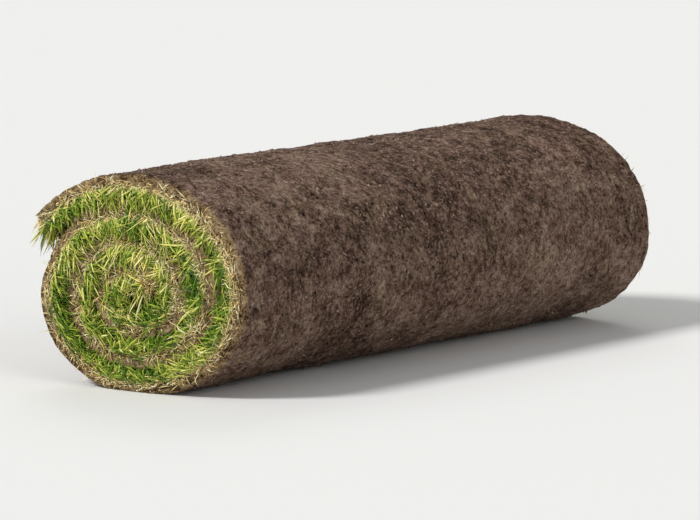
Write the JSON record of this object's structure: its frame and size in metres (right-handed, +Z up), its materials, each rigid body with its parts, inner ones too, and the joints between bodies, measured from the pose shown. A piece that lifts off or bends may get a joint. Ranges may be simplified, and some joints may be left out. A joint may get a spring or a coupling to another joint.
{
  "type": "roll of turf",
  "caption": "Roll of lawn turf on its side: a strip of soil and root mat wound grass side in, oval from its own weight, with its spiral laps and grass showing on both ends.",
  "frame": {"origin": "on the resting plane, below the centre of the roll's box", "axes": "+X along the roll, +Z up, +Y towards the side where the outer lap's free end lies"},
  "size_m": [0.61, 0.2022, 0.1698],
  "materials": {
    "soil_mat": "matte",
    "grass": "matte",
    "straw": "matte"
  },
  "bodies": {
    "root": {"turf_roll": "soil_mat"}
  },
  "joints": []
}
